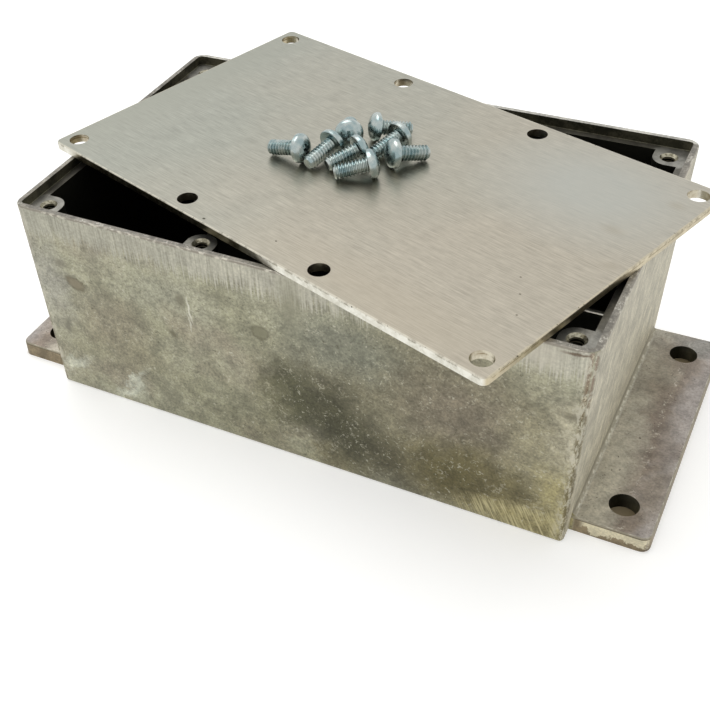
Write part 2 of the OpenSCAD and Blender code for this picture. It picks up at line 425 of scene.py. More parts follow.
mottle = add(tree, "TexNoise", {"Vector": spot, "Scale": 1 / MOTTLE_MM, "Detail": 7, "Roughness": 0.74})
grain = add(tree, "TexNoise", {"Vector": spot, "Scale": 1 / GRAIN_MM, "Detail": 2})
flecks = add(tree, "TexNoise", {"Vector": spot, "Scale": 1 / FLECK_MM, "Detail": 2, "Distortion": 1.5,
                                "W": 3}, noise_dimensions="4D")
worms = add(tree, "TexNoise", {"Vector": spot, "Scale": 1 / WORM_MM, "Detail": 2, "W": 5},
            noise_dimensions="4D")
worm_patch = add(tree, "TexNoise", {"Vector": spot, "Scale": 1 / WORM_PATCH_MM, "Detail": 3, "W": 9},
                 noise_dimensions="4D")

mottled = shaded(tree, finish[0], (mottle, *CLOSE, 0.72, 1.28), (grain, *WIDE, 0.78, 1.22))
finish = (mottled, add(tree, "MapRange", [mottle, *TIGHT, 0.38, 0.55]))

rubbed = region(tree, (flecks, 0.61, 0.68), (mottle, 0.44, 0.52), strength=0.6)
finish = lay(tree, finish, rubbed, "#c6c3b1", RUBBED_ROUGH)
from_half = add(tree, "Math", [worms, 0.5], operation="SUBTRACT")
ridge = add(tree, "Math", [from_half], operation="ABSOLUTE")
worm = region(tree, (ridge, 0.035, 0.012), (worm_patch, 0.54, 0.62), (grain, 0.4, 0.5), strength=0.45)
finish = lay(tree, finish, worm, "#b4b09c", RUBBED_ROUGH)
pores = region(tree, (flecks, 0.36, 0.29), strength=0.6)
finish = lay(tree, finish, pores, "#55523f", PIT_ROUGH)
print("mottled skin:", len(tree.nodes), "nodes")

# %% [markdown]
# ## The casting: brushed walls
# The end walls and the top of the long walls were rubbed on an abrasive belt, which leaves fine
# upright lines. A wave texture is too even, so noise is stretched along the wall's height. On the
# long walls each line ends at its own height, which gives the band a ragged foot. The end walls were
# rubbed all the way down, and are duller.

# %% Brushed walls
# Real brush lines are finer. These are drawn coarser, so that they show
STREAK_MM = 0.35
STREAK_LONG_MM = 9
BAND_FOOT_Z = 37.8
BAND_RAGGED_MM = 4
BAND_DULL_X, BAND_BRIGHT_X = -35, -10
BAND_ROUGH = 0.42
END_LOW_Z, END_HIGH_Z = 3, 38
END_ROUGH = 0.65
BRUSHED = 0.85

streak_x = add(tree, "Math", [along, 1 / STREAK_MM], operation="MULTIPLY")
streak_z = add(tree, "Math", [z, 1 / STREAK_LONG_MM], operation="MULTIPLY")
streak_at = add(tree, "CombineXYZ", [streak_x, streak_z, is_end])
streaks = add(tree, "TexNoise", {"Vector": streak_at, "Scale": 1, "Detail": 3, "Roughness": 0.6})
lines = add(tree, "MapRange", [streaks, 0.33, 0.67])
foot_z = add(tree, "Math", [lines, -BAND_RAGGED_MM, BAND_FOOT_Z + BAND_RAGGED_MM / 2],
             operation="MULTIPLY_ADD")
past_foot = add(tree, "Math", [z, foot_z], operation="SUBTRACT")
band = region(tree, (past_foot, -1, 1.5))
band = add(tree, "Math", [band, is_end], operation="MAXIMUM")
brushed = region(tree, (band, 0, 1), (outer, 0, 1), strength=BRUSHED)
# The end walls are painted paler towards the foot: painted light that makes up for the flange's shade
end_tone = two_tone(tree, z, END_LOW_Z, END_HIGH_Z, "#d0c9b2", "#c2bcaa")
end_tone = shaded(tree, end_tone, (streaks, *MIDDLING, 0.9, 1.08), (mottle, *TIGHT, 0.9, 1.08))
band_tone = two_tone(tree, x, BAND_DULL_X, BAND_BRIGHT_X, "#a9a799", "#b6b3a5")
bright = add(tree, "Mix", {0: is_end, 6: band_tone, 7: end_tone}, out=2, data_type="RGBA")
bright = shaded(tree, bright, (streaks, *MIDDLING, 0.78, 1.18), (mottle, *TIGHT, 0.92, 1.08),
                (grain, *WIDE, 0.88, 1.12))
rubbed_end = region(tree, (is_end, 0, 1), (brushed, 0, BRUSHED))
brushed_rough = add(tree, "MapRange", [rubbed_end, 0, 1, BAND_ROUGH, END_ROUGH])
finish = lay(tree, finish, brushed, bright, brushed_rough)
print("brushed band from height", BAND_FOOT_Z, "mm up")

# %% [markdown]
# ## The casting: slanted strokes
# A belt that was held askew left short pale strokes at the foot of the near wall. Thin ovals could
# be placed one by one. The same stretched noise, turned, gives them all at once, and they show
# inside one more oval.

# %% Slanted strokes
STROKE_MM = 0.28
STROKE_LONG_MM = 5
STROKES_LEAN_DEG = 24
STROKES_AT = (44, 2.2, 0)
STROKES_HALF = (10.5, 4.6, 1)
WORN_ROUGH = 0.4

belt = add(tree, "Mapping", {"Vector": wall, "Rotation": (0, 0, math.radians(STROKES_LEAN_DEG)),
                             "Scale": (STROKE_MM, STROKE_LONG_MM, 1)}, vector_type="TEXTURE")
strokes = add(tree, "TexNoise", {"Vector": belt, "Scale": 1, "Detail": 2})
from_strokes = add(tree, "Mapping", {"Vector": ragged_wall, "Location": STROKES_AT,
                                     "Scale": STROKES_HALF}, vector_type="TEXTURE")
away = add(tree, "VectorMath", [from_strokes], out=1, operation="LENGTH")
stroked = region(tree, (away, 1.15, 0.7), (strokes, 0.45, 0.62), (is_near, 0, 1), strength=0.8)
finish = lay(tree, finish, stroked, "#cbc298", WORN_ROUGH)
print("strokes lean", STROKES_LEAN_DEG, "degrees")

# %% [markdown]
# ## The casting: spots and scratches
# Small stains with a dark edge, as drops leave when they dry, and thin upright scratches lie over all
# that on the near wall. They are ovals too, with less push, because they keep their outline. A drop
# is a dark oval with a paler one inside it.

# %% Spots and scratches on the near wall
SPOT_PUSH_MM = 2
SPOTS = [
    # as in STAINS_AND_PAINTED_REFLECTION
    ("#564d39", -43.2, 28, 2.4, 1.5, -25, 0.2, 0.65),
    ("#8d846f", -43.4, 28.1, 1.7, 1, -25, 0.25, 0.65),
    ("#5a5542", -3.3, 29, 1.9, 1.7, 0, 0.15, 0.55),
    ("#8b8972", -3.3, 29.1, 1.4, 1.2, 0, 0.2, 0.65),
    ("#74705f", -19.3, 31.2, 1, 1.5, 0, 0.4, 0.7),
    ("#7a7668", -45.5, 32.2, 1.3, 0.9, 0, 0.5, 0.7),
    ("#757264", -47.5, 16.5, 0.7, 1.8, -10, 0.5, 0.7),
    ("#6a6653", -22.2, 22.4, 1.2, 0.6, -40, 0.5, 0.75),
    ("#5f5a48", 51.5, 30, 2, 0.7, 0, 0.5, 0.6),
    ("#5d4a3a", 51, 42.5, 2.4, 0.3, 0, 0.5, 0.8),
    ("#8d8b78", 3, 38, 2.2, 5, 0, 0.6, 0.6),
    ("#c9c3b4", 45.5, 41, 3, 3, 0, 0.6, 0.5),
    ("#d9d7c9", -17.7, 29.4, 0.2, 2.4, 3, 0.5, 0.85),
    ("#d3d1c2", -18.1, 26.6, 0.16, 2, 6, 0.5, 0.7),
]
nudged_wall = add(tree, "VectorMath", [push, (SPOT_PUSH_MM, SPOT_PUSH_MM, 0), wall],
                  operation="MULTIPLY_ADD")
for mark in SPOTS:
    finish = lay_oval_mark(tree, nudged_wall, finish, mark, is_near)
print(len(SPOTS), "spots and scratches")

# %% [markdown]
# ## The casting: corners
# The upright corners are worn: the metal beside each is pale, and along it runs a line of brown pits
# with bright flecks, rusty near the rim. A pointiness map would find the edges, but it needs a dense
# mesh, and the distance from the corner is known. It allows for the rounding, which grows with
# height.

# %% Corners
PIT_MM = 0.8
PIT_LONG_MM = 2.2
CORNER_FOOT = 0.26
CORNER_GROWTH = 0.01
CORNER_ROUGH = 0.38
RUST_FROM_Z, RUST_FULL_Z = 28, 38

past_corner = add(tree, "Math", [gap_x, gap_y], operation="MAXIMUM")
rounding = add(tree, "Math", [z, CORNER_GROWTH, CORNER_FOOT], operation="MULTIPLY_ADD")
off_corner = add(tree, "Math", [past_corner, rounding], operation="SUBTRACT")
pit_at = add(tree, "Mapping", {"Vector": spot, "Scale": (PIT_MM, PIT_MM, PIT_LONG_MM)},
             vector_type="TEXTURE")
pits = add(tree, "TexNoise", {"Vector": pit_at, "Scale": 1, "Detail": 4, "Roughness": 0.7})
worn = region(tree, (off_corner, 2, 0.8), (pits, 0.52, 0.42), (outer, 0, 1), strength=0.6)
finish = lay(tree, finish, worn, "#c4bfae", CORNER_ROUGH)
pitted = region(tree, (off_corner, 0.9, 0.3), (pits, 0.42, 0.52), (outer, 0, 1), strength=0.8)
rusty = two_tone(tree, z, RUST_FROM_Z, RUST_FULL_Z, "#6c6244", "#7d6250")
finish = lay(tree, finish, pitted, rusty, PIT_ROUGH)
flecked = region(tree, (off_corner, 0.9, 0.4), (flecks, 0.58, 0.66), (outer, 0, 1), strength=0.6)
finish = lay(tree, finish, flecked, "#d8d1b8", WORN_ROUGH)
print("corners:", len(tree.nodes), "nodes")

# %% [markdown]
# ## The casting: rim and recess
# The top of the rim was sanded to a dull grey and is painted paler along the far wall, a painted
# highlight. Its outer edge is bright in short dashes, partly wear and partly a painted highlight, and
# the walls of the recess are darker. A bevel would catch the light on that edge, but it is only a
# hair wide, so it is drawn by height instead.

# %% Rim and recess
RECESS_D = 1.9
RIM_T = 1.1
DASH_MM = 1.2
DASH_HIGH_MM = 0.5
DIRT_ROUGH = 0.5
SANDED_ROUGH = 0.42
LEDGE_Z = RIM_Z - RECESS_D

recess = region(tree, (z, LEDGE_Z + 0.05, LEDGE_Z + 0.15), (inset, RIM_T - 0.5, RIM_T - 0.2), upright)
recess_tone = two_tone(tree, mottle, 0.42, 0.58, "#38372b", "#605d4c")
finish = lay(tree, finish, recess, recess_tone, DIRT_ROUGH)
on_rim = region(tree, (z, RIM_Z - 0.4, RIM_Z - 0.1), upward)
# Painted highlight: the rim top is painted paler along the far wall
far_rim_painted_highlight = region(tree, (gap_y, 1.8, 1.3), (y, 0, 1))
rim_top_tone = two_tone(tree, far_rim_painted_highlight, 0, 1, "#817d74", "#b3b1a8")
rim_top_tone = shaded(tree, rim_top_tone, (grain, *WIDE, 0.75, 1.25), (mottle, *TIGHT, 0.75, 1.25))
finish = lay(tree, finish, on_rim, rim_top_tone, SANDED_ROUGH)
rim_fleck = region(tree, (on_rim, 0, 1), (flecks, 0.56, 0.64), (mottle, 0.46, 0.54), strength=0.7)
finish = lay(tree, finish, rim_fleck, "#cfccc0", WORN_ROUGH)
dash_at = add(tree, "VectorMath", [spot, (1 / DASH_MM, 1 / DASH_MM, 1 / DASH_HIGH_MM)],
              operation="MULTIPLY")
dashes = add(tree, "TexNoise", {"Vector": dash_at, "Scale": 1, "Detail": 3})
# Partly wear, partly a painted highlight: bright dashes along the rim's outer edge
rim_edge = region(tree, (z, RIM_Z - 0.5, RIM_Z - 0.3), (inset, 0.3, 0.1), strength=0.85)
dashed = two_tone(tree, dashes, 0.5, 0.64, "#8f897e", "#d0cbbc")
finish = lay(tree, finish, rim_edge, dashed, WORN_ROUGH)
print("rim edge at", round(RIM_Z, 2), "mm")

# %% [markdown]
# ## The casting: inside and ledge
# The ledge and the tops of the bosses were milled flat, the bosses to a paler grey; the ledge is
# painted darker, a painted shade. Below, the casting was never touched again, and it is painted dark,
# a painted shade, but for a painted glint along the smooth fillet at the floor. The distance from the
# nearest screw hole tells a boss from the ledge. All eight holes could be measured from, but they are
# mirrored, and unsigned coordinates need only two.

# %% Inside and ledge
HOLE_X_END = 49.455
HOLE_X_MID = 16.485
HOLE_Y = 28.8
BOSS_R = 4
FLOOR_T = 2.5
FLOOR_FILLET = 1
MILLED_ROUGH = 0.38

past_end_x = add(tree, "Math", [off_x, HOLE_X_END], operation="SUBTRACT")
past_mid_x = add(tree, "Math", [off_x, HOLE_X_MID], operation="SUBTRACT")
past_row = add(tree, "Math", [off_y, HOLE_Y], operation="SUBTRACT")
end_place = add(tree, "CombineXYZ", [past_end_x, past_row, 0])
from_end = add(tree, "VectorMath", [end_place], out=1, operation="LENGTH")
mid_place = add(tree, "CombineXYZ", [past_mid_x, past_row, 0])
from_mid = add(tree, "VectorMath", [mid_place], out=1, operation="LENGTH")
from_hole = add(tree, "Math", [from_end, from_mid], operation="MINIMUM")

within = region(tree, (inset, RIM_T - 0.3, RIM_T - 0.1))
inside = region(tree, (within, 0, 1), (z, LEDGE_Z - 0.02, LEDGE_Z - 0.06))
# Painted shade: the inside below the ledge is painted dark
finish = lay(tree, finish, inside, "#2b2a23", DIRT_ROUGH)
# Painted glint: the fillet at the floor is painted pale
shine = region(tree, (inside, 0, 1), (nz, 0.15, 0.4), (nz, 0.99, 0.9),
               (z, FLOOR_T + FLOOR_FILLET, FLOOR_T + FLOOR_FILLET / 2))
finish = lay(tree, finish, shine, "#cfcbbd", RUBBED_ROUGH)
at_ledge = region(tree, (within, 0, 1), (z, LEDGE_Z - 0.06, LEDGE_Z - 0.03),
                  (z, LEDGE_Z + 0.15, LEDGE_Z + 0.05), upward)
# Painted shade: the ledge is painted darker than the tops of the bosses
ledge_and_boss_tone = two_tone(tree, from_hole, BOSS_R + 0.3, BOSS_R - 0.3, "#66635a", "#908e86")
ledge_and_boss_tone = shaded(tree, ledge_and_boss_tone, (mottle, *TIGHT, 0.72, 1.25))
finish = lay(tree, finish, at_ledge, ledge_and_boss_tone, MILLED_ROUGH)
print("ledge at", round(LEDGE_Z, 2), "mm")

# %% [markdown]
# ## The casting: tapped holes
# The mouths of the tapped holes are countersunk and shine, and a thread runs down inside. It could
# be cut in the mesh, but only the first turns can be seen, so it is drawn as rings of painted
# highlight and painted shade, one for each turn, by a sine of the height.

# %% Tapped holes
HOLE_R = 1.15
MOUTH_DEEP = 0.5
CUT_ROUGH = 0.3
THREAD_PITCH = 0.635

mouth = region(tree, (within, 0, 1), (z, LEDGE_Z - MOUTH_DEEP - 0.05, LEDGE_Z - MOUTH_DEEP),
               (nz, 0.45, 0.6), (nz, 0.9, 0.8))
mouth_tone = two_tone(tree, grain, *TIGHT, "#77725f", "#b5b09b")
finish = lay(tree, finish, mouth, mouth_tone, CUT_ROUGH)
in_hole = region(tree, (inside, 0, 1), (from_hole, HOLE_R + 0.2, HOLE_R + 0.1), upright)
turn_angle = add(tree, "Math", [z, math.tau / THREAD_PITCH], operation="MULTIPLY")
wave = add(tree, "Math", [turn_angle], operation="SINE")
# Painted highlight and painted shade: light rings on the crests, dark rings in the roots
rings = two_tone(tree, wave, -0.2, 0.6, "#23211a", "#a39d86")
finish = lay(tree, finish, in_hole, rings, RUBBED_ROUGH)
print("thread of", THREAD_PITCH, "mm a turn")

# %% [markdown]
# ## The casting: tops of the flanges
# The flanges keep the skin of the tool, grey by the wall, brown where they were handled and a little
# purple outside. A plain gradient across them looks painted, so clouds push its steps about, and the
# larger patches are ovals as on the walls. The pale oval by the wall in front is painted light, which
# makes up for the shade of the end wall there.

# %% Tops of the flanges
FLANGE_T = 3.2
CLOUD_PUSH_MM = 4
BROWN_FROM, BROWN_FULL = 2.5, 6
PURPLE_FROM, PURPLE_FULL = 8, 11
FLANGE_MARKS = [
    # as in STAINS_AND_PAINTED_REFLECTION, at a distance from the middle and a y
    # Painted light: this pale oval by the wall makes up for the end wall's shade
    ("#bdb8a8", 55.5, -15, 3.7, 15, 0, 0.5, 0.9),
    ("#867d6b", 57.5, 15, 3, 10, 0, 0.6, 0.6),
    ("#a39c96", 64, 3, 2, 14, 0, 0.6, 0.6),
    ("#887d6c", 63.5, -17, 2.5, 6, 0, 0.5, 0.6),
    ("#8d8f8b", 62, 26, 4, 3, 0, 0.5, 0.6),
]
flange = region(tree, (z, FLANGE_T + 0.15, FLANGE_T + 0.02), (past_wall, 0.4, 0.8))
cloud_push = add(tree, "MapRange", [clouds, *WIDE, -CLOUD_PUSH_MM, CLOUD_PUSH_MM])
step_at = add(tree, "Math", [cloud_push, past_wall], operation="ADD")
flange_top_tone = two_tone(tree, step_at, BROWN_FROM, BROWN_FULL, "#aaa597", "#8a7f73")
flange_top_tone = two_tone(tree, step_at, PURPLE_FROM, PURPLE_FULL, flange_top_tone, "#a39c96")
plan = add(tree, "CombineXYZ", [off_x, y, 0])
ragged_plan = add(tree, "VectorMath", [push, (SPOT_PUSH_MM, STAIN_PUSH_MM, 0), plan],
                  operation="MULTIPLY_ADD")
tops = (flange_top_tone, SKIN_ROUGH)
for mark in FLANGE_MARKS:
    tops = lay_oval_mark(tree, ragged_plan, tops, mark, flange)
flange_top_tone = shaded(tree, tops[0], (mottle, *CLOSE, 0.78, 1.22), (grain, *WIDE, 0.85, 1.15))
finish = lay(tree, finish, flange, flange_top_tone, SKIN_ROUGH)
print("flange tops:", len(tree.nodes), "nodes")

# %% [markdown]
# ## The casting: pits, fleck line and fillet of the flanges
# Dark pits are scattered over the flanges, and a broken line of bright flecks runs along the middle.
# The fillet at the wall is darker, with a painted glint where it looks up. New noise could break up
# each of them, but patterns from before do it as well.

# %% Pits, fleck line and fillet of the flanges
FLECK_LINE = 6.5
LINE_RAGGED_MM = 0.5
FLANGE_FILLET = 0.9
LINE_X = HALF_L + FLECK_LINE
FILLET_Z = FLANGE_T + FLANGE_FILLET

flange_pits = region(tree, (flange, 0, 1), (pores, 0.2, 0.6), strength=0.7)
finish = lay(tree, finish, flange_pits, "#4d4538", DIRT_ROUGH)
ragged_x = add(tree, "MapRange", [mottle, *TIGHT, LINE_X - LINE_RAGGED_MM, LINE_X + LINE_RAGGED_MM])
from_line = add(tree, "Math", [off_x, ragged_x], operation="SUBTRACT")
off_line = add(tree, "Math", [from_line], operation="ABSOLUTE")
flecked = region(tree, (flange, 0, 1), (off_line, 0.7, 0.2), (flecks, 0.56, 0.64), strength=0.6)
finish = lay(tree, finish, flecked, "#cfc9bb", RUBBED_ROUGH)
fillet = region(tree, (z, FILLET_Z + 0.2, FILLET_Z - 0.2), (nz, 0.05, 0.2), (nz, 0.97, 0.9),
                (past_wall, -0.4, -0.2), strength=0.8)
# Painted glint: the fillet is painted paler where it looks up
glint = region(tree, (nz, 0.7, 0.85), (dashes, 0.5, 0.62))
fillet_tone = two_tone(tree, glint, 0, 1, "#948e7c", "#cdc8b6")
finish = lay(tree, finish, fillet, fillet_tone, SKIN_ROUGH)
print("fillet up to", round(FILLET_Z, 2), "mm")

# %% [markdown]
# ## The casting: sides of the flanges
# The sides are brown. On the short sides of the right flange the flash was sheared off, which left a
# pale torn strip with a ragged lower edge. A dark line runs above it, on both flanges. The walls of
# the mounting holes are painted dark or light by the way they face, painted shade and painted light.
# The strip is too flat for geometry, so a ragged height bounds a mask.

# %% Sides of the flanges
FLANGE_INSET = 5.18
TORN_TOP_Z = 2.75
TORN_FOOT_Z = 1.4
TORN_RAGGED_MM = 4
TORN_STEP_MM = 0.8
TORN_ROUGH = 0.55

past_end = add(tree, "Math", [off_x, HALF_L + FLANGE_REACH], operation="SUBTRACT")
past_side = add(tree, "Math", [off_y, HALF_W - FLANGE_INSET], operation="SUBTRACT")
past_edge = add(tree, "Math", [past_end, past_side], operation="MAXIMUM")
side = region(tree, (flange, 0, 1), upright, (past_edge, -0.6, -0.4))
side_tone = shaded(tree, "#8d8068", (mottle, *TIGHT, 0.7, 1.3))
finish = lay(tree, finish, side, side_tone, DIRT_ROUGH)
cloud_step = add(tree, "Math", [clouds, 0.5], operation="SUBTRACT")
torn_z = add(tree, "Math", [cloud_step, TORN_RAGGED_MM, TORN_FOOT_Z], operation="MULTIPLY_ADD")
torn_step = add(tree, "MapRange", [mottle, *TIGHT, -TORN_STEP_MM, TORN_STEP_MM])
torn_z = add(tree, "Math", [torn_step, torn_z], operation="ADD")
past_torn = add(tree, "Math", [z, torn_z], operation="SUBTRACT")
torn = region(tree, (side, 0, 1), (past_torn, -0.1, 0.1), (z, TORN_TOP_Z + 0.1, TORN_TOP_Z),
              (turned_y, 0.4, 0.7), (x, HALF_L, HALF_L + 1))
cream = shaded(tree, "#dcd4b9", (mottle, *TIGHT, 0.85, 1.1), (grain, *MIDDLING, 0.88, 1.08))
finish = lay(tree, finish, torn, cream, TORN_ROUGH)
dark_line = region(tree, (side, 0, 1), (z, TORN_TOP_Z, TORN_TOP_Z + 0.1), (turned_y, 0.4, 0.7),
                   strength=0.7)
finish = lay(tree, finish, dark_line, "#4a4433", DIRT_ROUGH)
hole_wall = region(tree, (flange, 0, 1), upright, (past_edge, -1.2, -1.6))
# Painted shade and painted light: the hole walls go from dark to light by the way they face
hole_wall_painted_light = two_tone(tree, nx, 0.5, -0.7, "#2c2b21", "#77766a")
hole_wall_painted_light = shaded(tree, hole_wall_painted_light, (mottle, *TIGHT, 0.7, 1.3))
finish = lay(tree, finish, hole_wall, hole_wall_painted_light, DIRT_ROUGH)
print("flanges:", len(tree.nodes), "nodes")

# %% [markdown]
# ## The casting: relief and metal
# The same patterns give the relief: pores and pits go in, and the brushed lines are finer and
# shallower than the cast skin. Displacement would need a very dense mesh for marks that are
# hundredths of a millimetre deep, so a bump is enough. Tarnish scatters some of the light, so the
# skin isn't metallic all through, and the rubbed ends still less.

# %% The casting's surface
STREAK_DEEP_MM = 0.02
SKIN_DEEP_MM = 0.06
BUMP = 0.6
GRAIN_HEIGHT = 0.5
MOTTLE_HEIGHT = 1.2
PORE_HEIGHT = -0.6
PIT_HEIGHT = -0.8
BRUSHED_RELIEF = 0.2
TARNISHED_METALLIC = 0.75
RUBBED_END_METALLIC = 0.4

relief = add(tree, "Math", [grain, GRAIN_HEIGHT], operation="MULTIPLY")
relief = add(tree, "Math", [mottle, MOTTLE_HEIGHT, relief], operation="MULTIPLY_ADD")
smooth = add(tree, "MapRange", [brushed, 0, BRUSHED, 1, BRUSHED_RELIEF])
relief = add(tree, "Math", [relief, smooth], operation="MULTIPLY")
relief = add(tree, "Math", [pores, PORE_HEIGHT, relief], operation="MULTIPLY_ADD")
relief = add(tree, "Math", [pitted, PIT_HEIGHT, relief], operation="MULTIPLY_ADD")
skin_bump = add(tree, "Bump", {"Strength": BUMP, "Distance": SKIN_DEEP_MM * MM, "Height": relief})
line_relief = add(tree, "Math", [lines, brushed], operation="MULTIPLY")
all_bump = add(tree, "Bump", {"Strength": BUMP, "Distance": STREAK_DEEP_MM * MM,
                              "Height": line_relief, "Normal": skin_bump})
metallic = add(tree, "MapRange", [rubbed_end, 0, 1, TARNISHED_METALLIC, RUBBED_END_METALLIC])
metal = add(tree, "BsdfPrincipled", {"Base Color": finish[0], "Roughness": finish[1],
                                     "Metallic": metallic, "Normal": all_bump})
add(tree, "OutputMaterial", {"Surface": metal})
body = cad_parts["box_body"]
body.data.materials.clear()
body.data.materials.append(cast)
print("casting:", len(tree.nodes), "nodes")

# %% [markdown]
# ## The cover: brushed sheet
# The cover is cut from brushed sheet. The lines run along its length, and it lies turned on the rim,
# so a Mapping node takes the pattern into the sheet's own frame. An anisotropic shader could stand
# for the lines, but up close each line shows. A broader noise makes some bundles of lines darker.

# %% Brushed sheet
COVER_TURN_DEG = -18.6
COVER_L, COVER_W = 105.45, 64.56
# Real brush lines are finer. These are drawn coarser, so that they show
LINE_MM = 0.22
LINE_LONG_MM = 5
BUNDLE_MM = 1.6
SMUDGE_MM = 2.2
TINT_MM = 40
TINT_PUSH_MM = 15
COOL_U, WARM_U = -40, 30

cover_low, cover_high = (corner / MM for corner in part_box("cover_plate"))
middle = (cover_low + cover_high) / 2

# Brushed sheet gives the eye a bright, satin metal with reflections that are drawn out in lines
sheet, tree = new_material("brushed_aluminium_sheet")
local = add(tree, "Mapping", {"Vector": place_in_mm(tree), "Location": (middle.x, middle.y, cover_high.z),
                              "Rotation": (0, 0, math.radians(COVER_TURN_DEG))}, vector_type="TEXTURE")
u, v, w = add(tree, "SeparateXYZ", [local]).node.outputs
unsigned = add(tree, "VectorMath", [local], operation="ABSOLUTE")
off_u, off_v, _ = add(tree, "SeparateXYZ", [unsigned]).node.outputs
nz = add(tree, "SeparateXYZ", [add(tree, "TexCoord", out="Normal")]).node.outputs[2]
gap_u = add(tree, "Math", [COVER_L / 2, off_u], operation="SUBTRACT")
gap_v = add(tree, "Math", [COVER_W / 2, off_v], operation="SUBTRACT")
edge = add(tree, "Math", [gap_u, gap_v], operation="MINIMUM")

fine_at = add(tree, "Mapping", {"Vector": local, "Scale": (1 / LINE_LONG_MM, 1 / LINE_MM, 1)})
fine = add(tree, "TexNoise", {"Vector": fine_at, "Scale": 1, "Detail": 4, "Roughness": 0.6})
bundle_at = add(tree, "Mapping", {"Vector": local, "Scale": (1 / LINE_LONG_MM, 1 / BUNDLE_MM, 1)})
bundles = add(tree, "TexNoise", {"Vector": bundle_at, "Scale": 1, "Detail": 3})
smudge = add(tree, "TexNoise", {"Vector": local, "Scale": 1 / SMUDGE_MM, "Detail": 5, "Roughness": 0.7})
tint = add(tree, "TexNoise", {"Vector": local, "Scale": 1 / TINT_MM, "Detail": 2})

tint_push = add(tree, "MapRange", [tint, *MIDDLING, -TINT_PUSH_MM, TINT_PUSH_MM])
across = add(tree, "Math", [u, tint_push], operation="ADD")
face = two_tone(tree, across, COOL_U, WARM_U, "#a5a69b", "#b3ac9d")
face = shaded(tree, face, (fine, *WIDE, 0.81, 1.19), (bundles, *WIDE, 0.985, 1.015),
              (smudge, *MIDDLING, 0.955, 1.045))
finish = (face, add(tree, "MapRange", [bundles, *WIDE, 0.31, 0.34]))
print("cover middle at", [round(part, 2) for part in middle])

# %% [markdown]
# ## The cover: marks
# The sheet was handled: it has cooler and darker areas, a few dark specks and faint smudges. They
# are ovals in the sheet's own frame, as on the casting, but with clean outlines, because they are
# faint or tiny.

# %% Marks on the cover
COVER_MARKS = [
    # as in STAINS_AND_PAINTED_REFLECTION, at a u and a v
    ("#b0b3ad", 36, 20, 16, 13, 0, 0.6, 0.7),
    ("#9fa095", -52, 0, 7, 40, 0, 0.6, 0.7),
    ("#aaa190", 30, -29, 24, 6, 0, 0.6, 0.45),
    ("#a39c8c", 44.6, 10.9, 1.8, 1.1, 0, 0.6, 0.4),
    ("#a39c8c", 48.5, 23.8, 1.4, 1, 0, 0.6, 0.4),
    ("#a39c8c", 49.9, 2.1, 1.2, 1, 0, 0.6, 0.4),
    ("#39352a", -9.2, -31.2, 0.3, 0.22, 0, 0.3, 0.9),
    ("#39352a", 5.3, -27.7, 0.2, 0.16, 0, 0.3, 0.8),
    ("#4a4538", 41.5, -9.3, 0.18, 0.14, 0, 0.3, 0.7),
    ("#4a4538", 44.1, -12.9, 0.2, 0.15, 0, 0.3, 0.7),
    ("#4a4538", 46.9, -17.4, 0.18, 0.18, 0, 0.3, 0.7),
]
plan = add(tree, "CombineXYZ", [u, v, 0])
on_top = region(tree, (nz, 0.7, 0.9))
for mark in COVER_MARKS:
    finish = lay_oval_mark(tree, plan, finish, mark, on_top)
print(len(COVER_MARKS), "marks on the cover")

# %% [markdown]
# ## The cover: sawn edges and drilled holes
# The sheet was sawn to size. The long edges are pale, but the left part of the near one is painted
# dark, a painted reflection of the dark inside of the box, and the short ones are tan. The drilled
# holes are tan inside. A second material on those faces would do, but the mesh stays as it was
# packed, so a face's turn and place tell it from the top.

# %% Sawn edges and drilled holes
DARK_REFLECTION_LEFT_U, DARK_REFLECTION_RIGHT_U = -49, 7
SAWN_ROUGH = 0.3

along_short = add(tree, "Math", [gap_v, gap_u], operation="SUBTRACT")
is_short = region(tree, (along_short, -0.5, 0.5))
# Painted reflection: the near long edge is painted dark olive over the dark inside of the box
dark_reflection_tone = two_tone(tree, smudge, *TIGHT, "#5f5a45", "#968f78")
sawn = two_tone(tree, smudge, *TIGHT, "#cac7ba", "#e5e3d9")
dark_reflection_span = region(tree, (u, DARK_REFLECTION_RIGHT_U, 0), (u, DARK_REFLECTION_LEFT_U, DARK_REFLECTION_LEFT_U + 4), (v, 0, -1))
sawn = two_tone(tree, dark_reflection_span, 0, 1, sawn, dark_reflection_tone)
cut = shaded(tree, "#bcb196", (smudge, *TIGHT, 0.85, 1.12))
sides = region(tree, (nz, 0.75, 0.6))
finish = lay(tree, finish, sides, two_tone(tree, is_short, 0, 1, sawn, cut), SAWN_ROUGH)
drilled = region(tree, (sides, 0, 1), (edge, 1.5, 2))
drilled_tone = two_tone(tree, smudge, *TIGHT, "#a69b86", "#cbc5b2")
finish = lay(tree, finish, drilled, drilled_tone, SAWN_ROUGH)
print("edges of", COVER_L, "and", COVER_W, "mm")

# %% [markdown]
# ## The cover: burr, dirt and nicks
# Along the top of the edges runs a thin bright burr, with a broken dark line below it where dirt
# sits, and small nicks. The short edges are scored once more, lower down. All of it is finer than
# the mesh, so it is drawn by the height in the sheet's own frame and broken up by noise.

# %% Burr, dirt and nicks
NICK_MM = 0.6
SHEET_DEEP_MM = 0.02
SHEET_BUMP = 0.5
LINE_HEIGHT = 0.7
NICK_HEIGHT = -3

